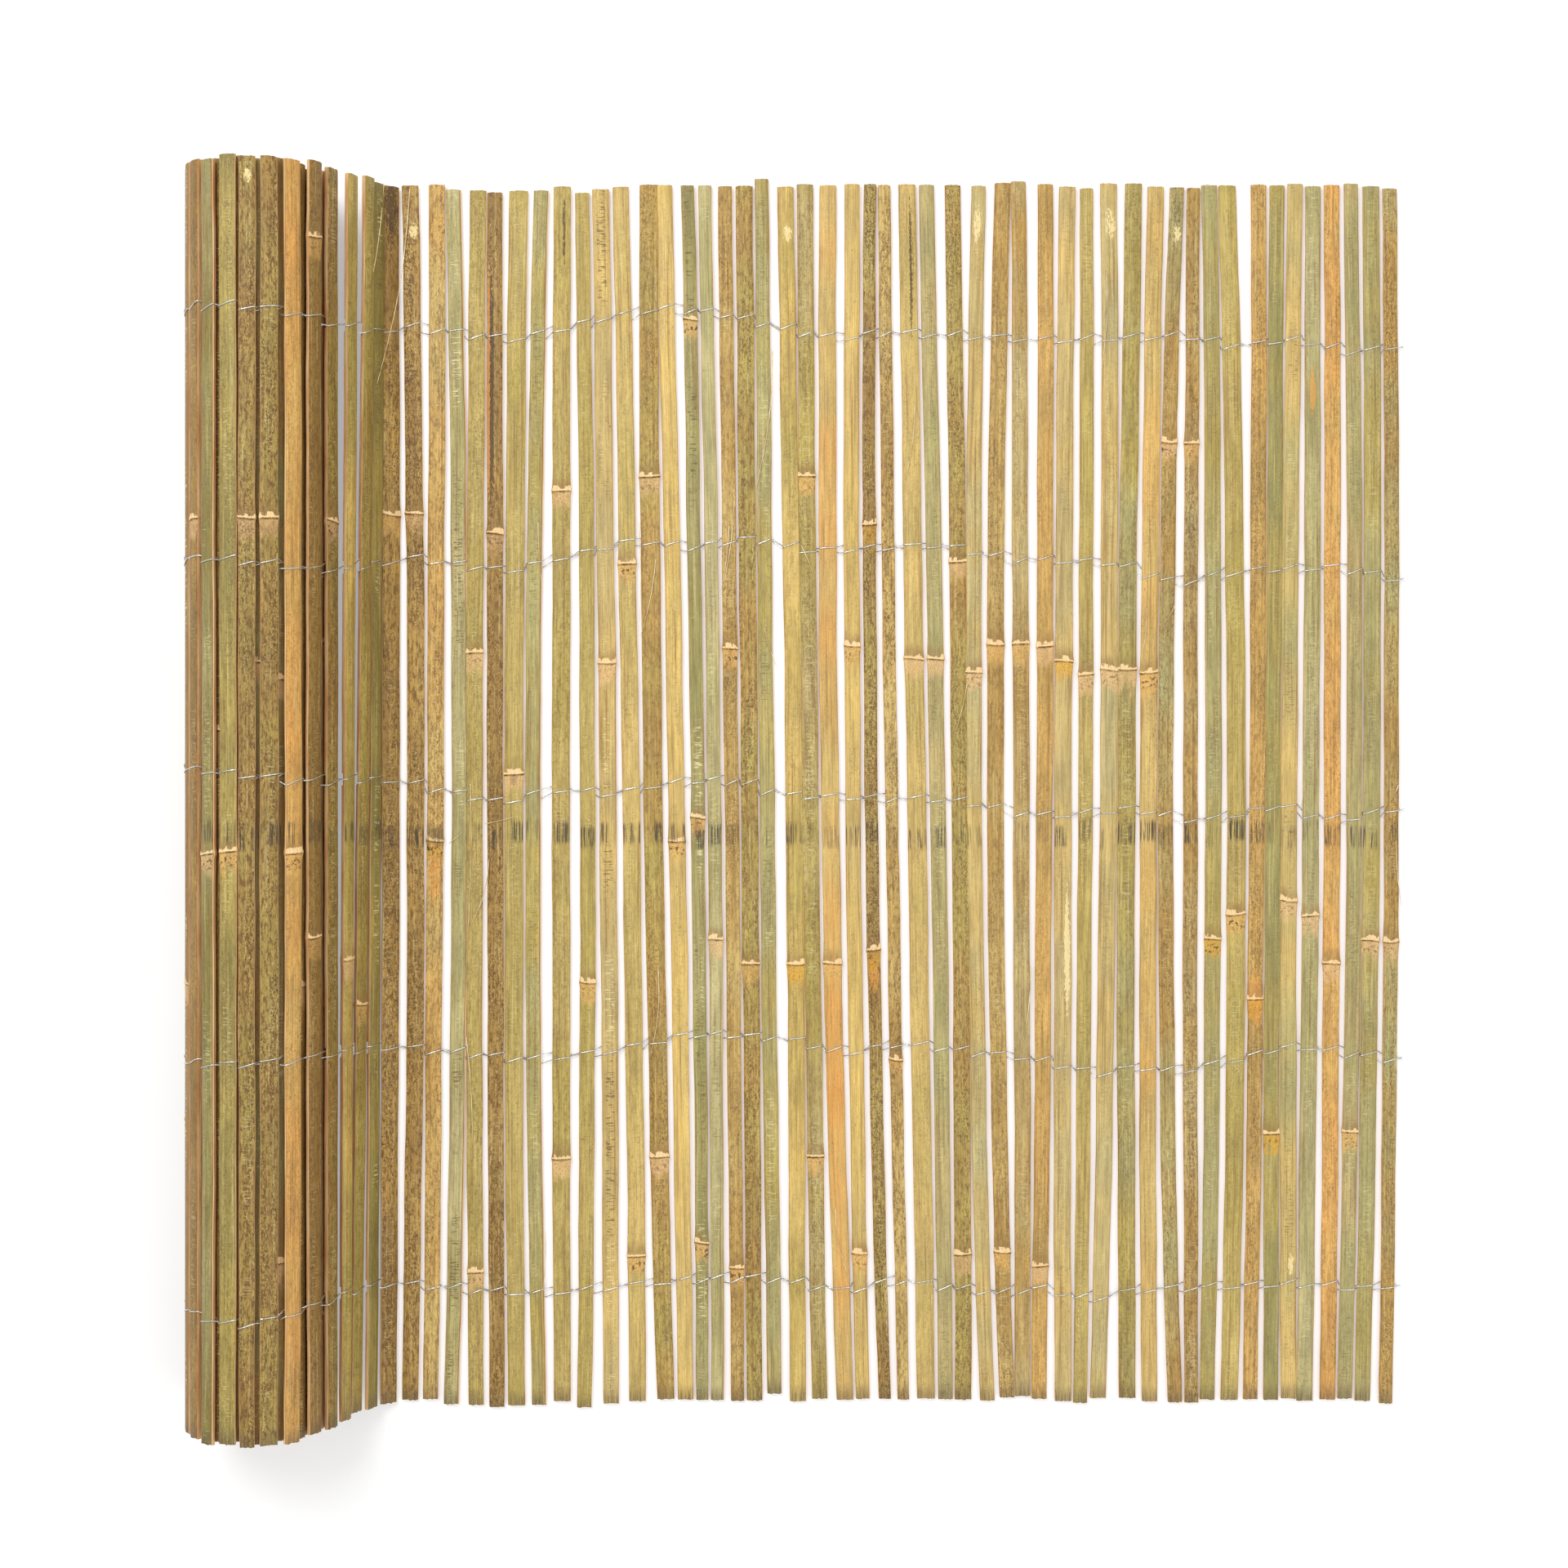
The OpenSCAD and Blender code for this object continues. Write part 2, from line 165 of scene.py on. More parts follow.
# From the free end to the crown of the roll: tint, second tint, mottling, ticks, pale edge
# on the left and right, and bow of the middle towards the right.
LOOKS = [
    ("brown", "grey green", 0.6, 0.3, 0.3, 0.4, 3.2),
    ("grey green", "olive", 0.2, 0.3, 0.2, 0.4, 4.2),
    ("grey green", "grey tan", 0.2, 0.5, 0.3, 0.3, 5.8),
    ("orange", "gold", 0.35, 0.1, 0.3, 0.4, 1.9),
    ("grey green", "pale green", 0.2, 0.4, 0.4, 0.3, 2.1),
    ("tan", "grey green", 0.1, 0.6, 0.3, 0.5, -2.5),
    ("deep green", "olive", 0.2, 0.2, 0.3, 0.3, -0.8),
    ("gold", "brown", 0.5, 0.2, 0.5, 0.4, 2.3),
    ("olive", "tan olive", 0.2, 0.3, 0.3, 0.4, 6.8),
    ("grey green", "olive", 0.2, 0.4, 0.3, 0.3, 4.1),
    ("brown", "grey tan", 0.6, 0.3, 0.4, 0.3, -1.8),
    ("brown", "grey green", 0.5, 0.3, 0.3, 0.5, -8.2),
    ("tan", "gold", 0.1, 0.2, 0.3, 0.4, -3.2),
    ("olive", "grey green", 0.4, 0.4, 0.3, 0.3, -3.7),
    ("tan", "pale green", 0.1, 0.3, 0.4, 0.4, 4.0),
    ("tan olive", "olive", 0.2, 0.4, 0.3, 0.4, 1.6),
    ("grey tan", "tan", 0.1, 0.3, 0.4, 0.3, -1.6),
    ("gold", "brown", 0.3, 0.2, 0.3, 0.5, 1.9),
    ("grey tan", "brown", 0.3, 0.3, 0.3, 0.3, 0.3),
    ("brown", "tan", 0.5, 0.3, 0.4, 0.4, -7.7),
    ("tan", "pale green", 0.1, 0.2, 0.3, 0.3, -6.8),
    ("olive", "brown", 0.7, 0.2, 0.3, 0.4, 1.8),
    ("grey green", "grey tan", 0.2, 0.5, 0.3, 0.4, 1.6),
    ("tan", "tan olive", 0.2, 0.2, 0.4, 0.3, -0.2),
    ("tan", "brown", 0.7, 0.2, 0.3, 0.3, -2.0),
    ("dark brown", "olive", 0.9, 0.2, 0.3, 0.3, -4.7),
    ("yellow", "tan", 0.1, 0.1, 0.4, 0.5, -3.7),
    ("tan", "orange", 0.1, 0.2, 0.3, 0.4, -5.6),
    ("olive", "grey tan", 0.4, 0.4, 0.4, 0.3, -1.5),
    ("yellow", "olive", 0.2, 0.3, 0.3, 0.4, 2.3),
    ("grey green", "olive", 0.2, 0.5, 0.3, 0.3, -1.3),
    ("olive", "brown", 0.7, 0.2, 0.3, 0.3, 0.3),
    ("brown", "tan", 0.5, 0.3, 0.4, 0.3, 0.2),
    ("pale green", "grey green", 0.1, 0.4, 0.3, 0.4, 2.7),
    ("deep green", "grey green", 0.2, 0.9, 0.3, 0.3, 1.9),
    ("yellow", "tan", 0.1, 0.2, 0.4, 0.4, 1.3),
    ("brown", "olive", 0.5, 0.3, 0.3, 0.3, -3.2),
    ("tan olive", "tan", 0.2, 0.3, 0.3, 0.4, 1.2),
    ("tan", "grey tan", 0.1, 0.9, 0.3, 0.4, 1.7),
    ("olive", "tan olive", 0.2, 0.4, 0.4, 0.3, 3.6),
    ("tan olive", "olive", 0.35, 0.3, 0.4, 0.3, -1.0),
    ("grey green", "olive", 0.2, 0.5, 0.2, 1.2, -6.2),
    ("tan olive", "olive", 0.2, 0.3, 0.3, 0.3, -3.1),
    ("dark brown", "brown", 0.9, 0.2, 0.4, 0.3, -0.6),
    ("tan olive", "olive", 0.4, 0.3, 0.3, 0.4, -2.4),
    ("grey green", "pale green", 0.2, 0.9, 0.2, 1.4, 5.7),
    ("gold", "tan", 0.6, 0.2, 0.3, 0.3, 0.8),
    ("brown", "dark brown", 0.9, 0.2, 0.3, 0.3, 4.9),
    ("brown", "dark brown", 0.9, 0.2, 0.3, 0.4, 1.5),
    ("roll green", "olive", 0.3, 0.8, 0.3, 0.4, 0.5),
    ("olive", "roll olive", 0.5, 0.4, 0.3, 0.3, 0.8),
    ("olive", "yellow", 0.3, 0.3, 0.3, 0.4, -0.5),
    ("roll olive", "roll brown", 0.8, 0.3, 0.3, 0.3, 0.5),
    ("roll brown", "dark brown", 0.8, 0.3, 0.3, 0.3, -0.8),
    ("gold", "orange", 0.3, 0.1, 0.6, 0.6, 1.0),
    ("roll olive", "roll brown", 1.0, 0.3, 0.3, 0.3, 0.3),
    ("roll olive", "dark brown", 1.0, 0.3, 0.3, 0.3, -0.5),
    ("roll green", "olive", 0.4, 0.4, 0.3, 0.3, 0.8),
    ("roll green", "grey green", 0.3, 0.4, 0.2, 1.0, 0.5),
    ("roll brown", "brown", 0.6, 0.3, 0.3, 0.3, -0.4),
]
ROLL_TINTS = ["roll brown", "roll olive", "roll green", "dark brown", "olive", "deep green"]

# Marks on single slats: slat from the free end, kind, upper and lower end in pixels of
# the photograph, place across from -1 to 1, half width across and strength.
MARKS = [
    (48, "dark", 215, 300, 0.0, 1.0, 0.7),
    (47, "pale", 274, 296, 0.3, 0.7, 0.65),
    (46, "warm", 1036, 1110, 0.0, 1.0, 0.6),
    (43, "warm", 300, 620, -0.8, 0.3, 0.9),
    (43, "dark", 320, 620, -0.45, 0.45, 1.0),
    (42, "dark", 940, 958, 0.0, 0.5, 0.8),
    (40, "dark", 230, 335, 0.2, 0.12, 0.9),
    (34, "dark", 1000, 1030, 0.0, 0.8, 1.0),
    (29, "pale", 274, 298, 0.2, 0.7, 0.6),
    (27, "warm", 1000, 1750, 0.0, 1.2, 0.5),
    (25, "warm", 1170, 1220, 0.0, 0.9, 0.7),
    (23, "dark", 235, 430, 0.3, 0.2, 0.9),
    (20, "pale", 250, 300, -0.1, 0.7, 0.6),
    (16, "pale", 1080, 1250, 0.5, 0.35, 1.0),
    (14, "pale", 255, 300, 0.2, 0.7, 0.6),
    (11, "pale", 274, 298, 0.2, 0.7, 0.6),
    (7, "warm", 1190, 1260, 0.0, 1.0, 0.8),
    (7, "dark", 1228, 1250, -0.3, 0.5, 0.8),
    (5, "pale", 1535, 1565, 0.3, 0.4, 0.8),
    (4, "warm", 450, 510, 0.0, 0.5, 0.8),
    (1, "dark", 1142, 1160, 0.0, 0.4, 0.8),
    (56, "pale", 240, 262, 0.1, 0.6, 0.6),
]

WAXED = (46, 29, 25, 16, 7, 6, 9, 30)  # slats with a bright yellow patch below a node


def smooth_wave(amp, lengths):
    """A seeded smooth curve along a slat, as a function of the place along it."""
    parts = [(amp * rng.uniform(0.5, 1) / (k + 1) ** 0.5, 2 * math.pi / w, rng.uniform(0, 2 * math.pi))
             for k, w in enumerate(lengths)]
    return lambda y: sum(a * np.sin(f * y + p) for a, f, p in parts)


def dress(slats):
    """Gives every slat its look: listed for those in sight, seeded for those in the roll."""
    for i, s in enumerate(slats):
        s["i"] = i
        if i < len(LOOKS):
            look = LOOKS[i]
        else:
            one, two = rng.choice(ROLL_TINTS, 2)
            look = (one, two, rng.uniform(0.2, 0.8), rng.uniform(0.1, 0.6), 0.3, rng.uniform(0.2, 0.8),
                    rng.uniform(-1, 1))
        # Slats whose skin does not face straight up take the darker roll olive into their common tint: painted
        # shade on the turned slats of the rise and the roll
        common = linear(TINTS["tan olive"] if s["v"][2] > 0.9 else TINTS["roll olive"])
        s["tint"], s["tint2"] = (linear(TINTS[k]) * 0.8 + common * 0.2 for k in look[:2])
        s["mottle"], s["ticks"], s["edge_l"], s["edge_r"], s["bow"] = look[2:]
        s["shade"] = rng.uniform(0.94, 1.05)
        s["drift"] = smooth_wave(0.45, [410, 170, 77])
        s["light"] = smooth_wave(0.05, [300, 120, 43])
        s["sway"] = smooth_wave(0.3, [330, 140])
        s["left"] = smooth_wave(0.12, [90, 37, 17])
        s["right"] = smooth_wave(0.12, [90, 37, 17])
        s["marks"] = [m[1:] for m in MARKS if m[0] == i]
        s["seed"] = rng.uniform(0, 90)
        s["wax"] = 1.0 if i in WAXED else rng.choice([0.0, 0.0, 0.5])
        s["slant"] = rng.uniform(0.2, 1.5, len(WIRE_NODES))
        s["skew"], s["arch"] = rng.uniform(-0.9, 0.9), rng.uniform(-0.7, 0.3)
        s["taper"] = rng.uniform(-0.03, 0.05)
        s["stain"] = rng.choice([0.3, 0.6, 0.9, 1.0])
        s["scab"] = rng.choice([0.0, 0.3, 0.6, 1.0])


def bow_at(s, y):
    """Sideways shift of a slat's middle line at a place along it."""
    return s["bow"] * (0.5 - (y / s["l2"]) ** 2) * 0.999 + s["sway"](y)


# ---------------------------------------------------------------- slat meshes
SKIN = np.array([-1, -0.8, -0.52, -0.26, 0, 0.26, 0.52, 0.8, 1])
NEAR_RING = np.array([-40, -26, -14, -9, -6, -4.4, -3.4, -2.6, -1.9, -1.2, -0.5, 0.3, 1.1, 2, 3.2, 5, 9, 20, 40])


def stations(s):
    """Places along a slat where its outline is drawn, closer together where more happens."""
    l2 = s["l2"]
    ys = [np.linspace(-l2, l2, 56), [-l2 + 0.8, -l2 + 2.5, -l2 + 7, l2 - 0.7, l2 - 2.5, l2 - 7]]
    ys += [h + NEAR_RING for h in s["rings"]]
    for _, top, low, _, _, _ in s["marks"]:
        a, b = photo_y(low), photo_y(top)
        ys.append(np.linspace(a - 3, b + 3, 7))
    if s["group"] in FLAT_NODES:
        for y in s["rows"]:
            ys.append([y - 5.2, y - 4.4, y + 4.4, y + 5.2])
    ys = np.sort(np.concatenate(ys))
    ys = ys[(ys >= -l2) & (ys <= l2)]
    keep = np.concatenate([[True], np.diff(ys) > 0.35])
    keep[-1] = True
    return ys[keep]


def slat_mesh(s):
    """Vertices, faces and the values on each vertex that the bamboo material reads."""
    y = stations(s)
    n = len(y)
    l2, t, w = s["l2"], s["t"], s["w"]
    near = np.full(n, 999.0)
    for h in s["rings"]:
        d = y - h
        near = np.where(abs(d) < abs(near), d, near)

    def node_line(f):
        """Distance along the slat from the nearest node's line, which runs a little askew."""
        return near + s["skew"] * f + s["arch"] * f * f

    def relief(f):
        d = node_line(f)
        return (0.6 * np.exp(-((d / 1.25) ** 2)) + 0.3 * np.exp(-((d / 5) ** 2))
                - 0.5 * np.exp(-(((d + 2.6) / 0.9) ** 2)))

    flare = 0.55 * np.exp(-((near / 2.6) ** 2)) + 0.35 * np.exp(-((near / 11) ** 2))
    spread = 0.08 if s["group"] == "rising_slats" else 0.0
    swell = w / 2 * (0.065 * (1 - (y / l2) ** 2) + s["taper"] * y / l2 + spread)
    right = w / 2 + s["right"](y) + flare + swell
    left = w / 2 + s["left"](y) + flare + swell
    a, b, side = [], [], []
    for f in SKIN:
        x = f * np.where(f > 0, right - s["edge_r"] - 0.15, left - s["edge_l"] - 0.15)
        a.append(x)
        b.append(t / 2 - CULM_R + np.sqrt(CULM_R ** 2 - x ** 2) + relief(f) * (1 - 0.25 * f * f))
        side.append(0)
    edge_drop = CULM_R - math.sqrt(CULM_R ** 2 - w * w / 4)
    groove = np.zeros(n)
    if s["group"] in FLAT_NODES:
        for row in s["rows"]:
            groove = np.maximum(groove, 1.15 * (abs(y - row) < 4.8))
    for reach, cut, sign in ((right, s["edge_r"], 1), (left, s["edge_l"], -1)):
        loop = [
            (sign * reach, t / 2 - edge_drop - 0.15 - 0.45 * cut + relief(sign) * 0.6, 1),
            (sign * (reach - 0.05 * w * 0.6), -t / 2 + 1.3 + 0 * y, 1),
            (sign * (reach - 0.05 * w), -t / 2 + groove, 1),
        ]
        if sign < 0:
            a.append(0 * y)
            b.append(-t / 2 + groove)
            side.append(1)
            loop.reverse()
        for x, z, m in loop:
            a.append(x + 0 * y)
            b.append(z + 0 * y)
            side.append(m)
    a, b, side = np.array(a).T, np.array(b).T, np.array(side, float)
    m = a.shape[1]
    along = np.repeat(y[:, None], m, 1)
    ragged = rng.uniform(-1.4, 0.3, m)
    ragged[-3:] = ragged[0]
    along[0] -= ragged * 0.9 * (side == 0) + 0.0
    along[-1] += rng.uniform(-0.4, 0.1, m)
    along[0, [0, 8]] += 0.5
    along[-1, [0, 8]] -= 0.5
    shift = bow_at(s, along)
    place = (s["o"] + (a + shift)[..., None] * s["u"] + along[..., None] * s["l"] + b[..., None] * s["v"])
    pale, dark, warm = np.zeros_like(a), np.zeros_like(a), np.zeros_like(a)
    for kind, top, low, at, half, power in s["marks"]:
        y0, y1 = photo_y(low), photo_y(top)
        r = ((along - (y0 + y1) / 2) / (y1 - y0) * 2) ** 2 + ((a / (w / 2) - at) / half) ** 2
        field = {"pale": pale, "dark": dark, "warm": warm}[kind]
        field[:] = np.maximum(field, power * np.clip(1.3 - r, 0, 1))
    mix = np.clip(0.35 + s["drift"](along), 0, 1)[..., None]
    tint = (s["tint"] * (1 - mix) + s["tint2"] * mix) * (s["shade"] + s["light"](along))[..., None]
    vertices = place.reshape(-1, 3)
    values = {
        "tint": np.concatenate([tint.reshape(-1, 3), np.ones((n * m, 1))], 1),
        "across": a.ravel(),
        "along": along.ravel(),
        "seed": np.full(n * m, s["seed"]),
        "ring": node_line(a.T / (w / 2)).T.ravel(),
        "reach": np.repeat(np.minimum(abs(near), 99), m),
        "scab": np.full(n * m, s["scab"]),
        "side": np.tile(side, n),
        "mottle": np.full(n * m, s["mottle"]),
        "ticks": np.full(n * m, s["ticks"]),
        "wax": np.full(n * m, s["wax"]),
        "slip": np.full(n * m, s["o"][1] + s["skew"] * 5),
        "stain": np.full(n * m, s["stain"]),
        "foot_end": (along + l2).ravel(),
        "pale": pale.ravel(),
        "dark": dark.ravel(),
        "warm": warm.ravel(),
    }
    # The two cut ends are fans about a centre point each.
    for ring in (0, n - 1):
        centre = place[ring].mean(0)
        vertices = np.vstack([vertices, centre])
        for name, v in values.items():
            if name == "tint":
                extra = values["tint"][ring * m:ring * m + 1]
            elif name == "side":
                extra = [1.0]
            else:
                extra = [v[ring * m]]
            values[name] = np.concatenate([v, extra])
    faces = []
    for j in range(n - 1):
        for k in range(m):
            k2 = (k + 1) % m
            faces.append((j * m + k, j * m + k2, (j + 1) * m + k2, (j + 1) * m + k))
    for k in range(m):
        k2 = (k + 1) % m
        faces.append((k2, k, n * m))
        faces.append(((n - 1) * m + k, (n - 1) * m + k2, n * m + 1))
    return vertices, faces, values


def make_piece(name, parts, material, sharp=40):
    """One mesh object out of (vertices, faces, values) parts, in the row frame."""
    verts, faces, values, base = [], [], {}, 0
    for v, f, vals in parts:
        verts.append(np.asarray(v) * MM)
        faces += [tuple(base + k for k in face) for face in f]
        for key, data in vals.items():
            values.setdefault(key, []).append(np.asarray(data))
        base += len(v)
    verts = np.vstack(verts)
    me = bpy.data.meshes.new(name)
    me.from_pydata(verts.tolist(), [], faces)
    for key, data in values.items():
        data = np.concatenate(data)
        kind = "FLOAT_COLOR" if data.ndim > 1 else "FLOAT"
        layer = me.attributes.new(key, kind, "POINT")
        layer.data.foreach_set("color" if data.ndim > 1 else "value", data.astype(np.float32).ravel())
    me.shade_smooth()
    me.set_sharp_from_angle(angle=math.radians(sharp))
    me.materials.append(material)
    me.validate()
    ob = bpy.data.objects.new(name, me)
    bpy.context.scene.collection.objects.link(ob)
    return ob


# ---------------------------------------------------------------- wires
def catmull(points, steps):
    """Points on a smooth curve through the given ones."""
    p = np.vstack([2 * points[0] - points[1], points, 2 * points[-1] - points[-2]])
    out = []
    for k in range(len(points) - 1):
        a, b, c, d = p[k:k + 4]
        for t in np.arange(steps) / steps:
            out.append(0.5 * (2 * b + (c - a) * t + (2 * a - 5 * b + 4 * c - d) * t * t
                              + (3 * b - 3 * c + d - a) * t ** 3))
    out.append(points[-1])
    return np.array(out)


def tube(path, radius, sides=6):
    """A closed round tube along a path."""
    ahead = np.gradient(path, axis=0)
    ahead /= np.linalg.norm(ahead, axis=1)[:, None]
    up = np.array([0.0, 1.0, 0.0])
    rings = []
    radius = np.broadcast_to(radius, len(path))
    for p, d, r in zip(path, ahead, radius):
        side = np.cross(d, up)
        size = np.linalg.norm(side)
        side = side / size if size > 1e-6 else np.array([1.0, 0, 0])
        up = np.cross(side, d)
        turn = np.arange(sides) / sides * 2 * math.pi
        rings.append(p + r * (np.cos(turn)[:, None] * side + np.sin(turn)[:, None] * up))
    n = len(path)
    verts = np.vstack([np.vstack(rings), path[:1], path[-1:]])
    faces = []
    for j in range(n - 1):
        for k in range(sides):
            k2 = (k + 1) % sides
            faces.append((j * sides + k, j * sides + k2, (j + 1) * sides + k2, (j + 1) * sides + k))
    for k in range(sides):
        k2 = (k + 1) % sides
        faces.append((k2, k, n * sides))
        faces.append(((n - 1) * sides + k, (n - 1) * sides + k2, n * sides + 1))
    return verts, faces


def on_slat(s, a, y, b):
    """A point of a slat: across from its bowed middle line, along it and above its mid-plane."""
    return s["o"] + (a + bow_at(s, y)) * s["u"] + y * s["l"] + b * s["v"]


def row_places(slats):
    """Where each row of wires crosses each slat, from the CAD's strands."""
    for s in slats:
        s["rows"] = []
    for node in WIRE_NODES:
        points = np.vstack([p for p, _ in solids_of(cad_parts[node])])
        order = np.argsort(points[:, 0])
        points = points[order]
        for s in slats:
            lo, hi = np.searchsorted(points[:, 0], [s["o"][0] - 14, s["o"][0] + 14])
            ys = points[lo:hi, 1]
            s["rows"].append((ys.min() + ys.max()) / 2 - s["o"][1])


def strand_points(slats, row, side):
    """One strand's way over one slat and behind the next, rising to the right in front."""
    out = []
    first, last = slats[0], slats[-1]
    out.append(on_slat(first, first["w"] / 2 + 5, first["rows"][row] + 0.5 * (1 - 2 * side), 0.6 * side))
    for i, s in enumerate(slats):
        y, w, t = s["rows"][row] + ROW_SPREAD * (2 * side - 1), s["w"] / 2, s["t"] / 2
        d = s["slant"][row] * ROW_SLANT
        low = CULM_R - math.sqrt(CULM_R ** 2 - w * w)
        if (i + side) % 2 == 0:
            lift = t + STRAND_R + 0.05
            way = [(w + 0.5, 0.95, lift - low - 0.75), (w - 0.5, 0.85, lift - low * 0.85 + 0.05),
                   (w * 0.5, 0.5, lift - low * 0.22), (0, 0, lift),
                   (-w * 0.5, -0.5, lift - low * 0.22), (-w + 0.5, -0.85, lift - low * 0.85 + 0.05),
                   (-w - 0.5, -0.95, lift - low - 0.75)]
        else:
            seat = -t + 0.1 + STRAND_R if s["group"] in FLAT_NODES else -t - 0.1 - STRAND_R
            way = [(w + 0.2, -0.95, seat + 0.25), (w - 1.2, -0.75, seat), (0, 0, seat),
                   (-w + 1.2, 0.75, seat), (-w - 0.2, 0.95, seat + 0.25)]
        out += [on_slat(s, a, y + d * rise, b) for a, rise, b in way]
    out.append(on_slat(last, -last["w"] / 2 - 5, last["rows"][row] + 0.6 * (1 - 2 * side), 0.6 * side))
    return np.array(out)


# ---------------------------------------------------------------- loose fibres
# Split fibres that lie across the slats: first and last end in pixels of the photograph,
# sideways sag of the middle in millimetres and radius.
FIBRES = [
    ((576, 960), (572, 1153), 2, 0.4), ((599, 1052), (574, 1138), 4, 0.42), ((594, 1009), (632, 1000), 0, 0.4),
    ((620, 1159), (638, 1171), 0, 0.35), ((550, 1033), (566, 1019), 0, 0.35), ((717, 1001), (728, 1013), 1, 0.35),
    ((803, 685), (784, 780), 2, 0.42), ((893, 644), (883, 724), 1, 0.38), ((899, 618), (882, 735), 2, 0.42),
    ((659, 640), (665, 729), -1, 0.35), ((782, 640), (782, 779), 2, 0.38), ((981, 668), (997, 709), 1, 0.35),
    ((936, 768), (951, 816), -1, 0.38), ((470, 225), (452, 360), 2, 0.5), ((502, 232), (462, 470), 5, 0.55),
    ((946, 430), (925, 600), 4, 0.5), ((571, 1270), (578, 1420), 2, 0.4), ((1184, 838), (1167, 905), 1, 0.42),
    ((1404, 745), (1399, 800), 1, 0.42), ((1438, 742), (1424, 765), 1, 0.4), ((1712, 961), (1702, 980), 1, 0.4),
    ((1595, 962), (1592, 990), 1, 0.4), ((1709, 1030), (1716, 1112), -1, 0.4), ((560, 700), (553, 818), 2, 0.42),
    ((806, 1188), (797, 1290), 3, 0.4), ((1262, 1180), (1252, 1278), 2, 0.4), ((1023, 1480), (1040, 1566), -3, 0.4),
    ((668, 1508), (661, 1602), 2, 0.38), ((1355, 330), (1349, 452), 2, 0.4), ((1120, 498), (1108, 590), 2, 0.38),
]


def top_at(slats, x):
    """Height of the highest skin within a few millimetres of a place across the sheet."""
    best = 0.0
    for s in slats:
        ends = [s["o"] + s["v"] * s["t"] / 2 + s["u"] * s["w"] / 2 * k for k in (-1, 1)]
        if ends[0][0] - 5 < x < ends[1][0] + 5 and s["v"][2] > 0:
            share = np.clip((x - ends[0][0]) / max(ends[1][0] - ends[0][0], 1e-6), 0, 1)
            best = max(best, ends[0][2] * (1 - share) + ends[1][2] * share)
    return best


def fibre_strand(slats, first, last, sag, radius):
    """A fibre that tapers off, over the slats below the line between two places in the photograph."""
    path = []
    for t in np.linspace(0, 1, 13):
        px, py = (first[k] * (1 - t) + last[k] * t for k in (0, 1))
        x, z = CAM_X + (px - 960) * PX, 5.0
        for _ in range(3):
            z = top_at(slats, x)
            x = CAM_X + (px - 960) * PX * (1 - z / CAM_H)
        y = CAM_Y + (960 - py) * PX * (1 - z / CAM_H)
        path.append((x + sag * math.sin(math.pi * t), y, z + radius + 0.3))
    path = catmull(np.array(path), 2)
    thin = np.linspace(1, 0.35, len(path))
    verts, faces = tube(path, radius * thin, 5)
    return verts, faces, {}


# ---------------------------------------------------------------- materials
class Nodes:
    """A short way to write a material's nodes."""

    def __init__(self, name):
        self.material = bpy.data.materials.new(name)
        self.material.use_nodes = True
        self.tree = self.material.node_tree
        self.tree.nodes.clear()
        self.out = self.tree.nodes.new("ShaderNodeOutputMaterial")
        self.shader = self.tree.nodes.new("ShaderNodeBsdfPrincipled")
        self.tree.links.new(self.shader.outputs[0], self.out.inputs[0])

    def put(self, socket, value):
        if isinstance(value, bpy.types.NodeSocket):
            self.tree.links.new(value, socket)
        elif isinstance(value, (tuple, list, np.ndarray)) and len(value) == 3 and socket.type == "RGBA":
            socket.default_value = (*[float(v) for v in value], 1.0)
        else:
            socket.default_value = value

    def attr(self, name, colour=False):
        n = self.tree.nodes.new("ShaderNodeAttribute")
        n.attribute_name = name
        return n.outputs["Color" if colour else "Fac"]

    def math(self, op, a, b=0.0):
        n = self.tree.nodes.new("ShaderNodeMath")
        n.operation = op
        self.put(n.inputs[0], a)
        self.put(n.inputs[1], b)
        return n.outputs[0]

    def join(self, x, y, z):
        n = self.tree.nodes.new("ShaderNodeCombineXYZ")
        for k, v in enumerate((x, y, z)):
            self.put(n.inputs[k], v)
        return n.outputs[0]

    def scaled(self, vector, by):
        n = self.tree.nodes.new("ShaderNodeVectorMath")
        n.operation = "MULTIPLY"
        self.put(n.inputs[0], vector)
        n.inputs[1].default_value = by
        return n.outputs[0]

    def noise(self, vector, by=(1, 1, 1), detail=3.0, rough=0.55):
        n = self.tree.nodes.new("ShaderNodeTexNoise")
        n.inputs["Scale"].default_value = 1.0
        n.inputs["Detail"].default_value = detail
        n.inputs["Roughness"].default_value = rough
        self.put(n.inputs["Vector"], self.scaled(vector, by))
        return n.outputs["Fac"]

    def ramp(self, value, lo, hi, to_lo=0.0, to_hi=1.0):
        n = self.tree.nodes.new("ShaderNodeMapRange")
        n.interpolation_type = "SMOOTHSTEP"
        self.put(n.inputs["Value"], value)
        n.inputs["From Min"].default_value = lo
        n.inputs["From Max"].default_value = hi
        n.inputs["To Min"].default_value = to_lo
        n.inputs["To Max"].default_value = to_hi
        return n.outputs["Result"]

    def mix(self, fac, a, b, blend="MIX"):
        n = self.tree.nodes.new("ShaderNodeMix")
        n.data_type = "RGBA"
        n.blend_type = blend
        self.put(n.inputs[0], fac)
        self.put(n.inputs[6], a)
        self.put(n.inputs[7], b)
        return n.outputs[2]

    def grey(self, value):
        return self.join(value, value, value)

    def bump(self, height, distance, strength=1.0):
        n = self.tree.nodes.new("ShaderNodeBump")
        n.inputs["Distance"].default_value = distance
        n.inputs["Strength"].default_value = strength
        self.put(n.inputs["Height"], height)
        self.put(self.shader.inputs["Normal"], n.outputs[0])


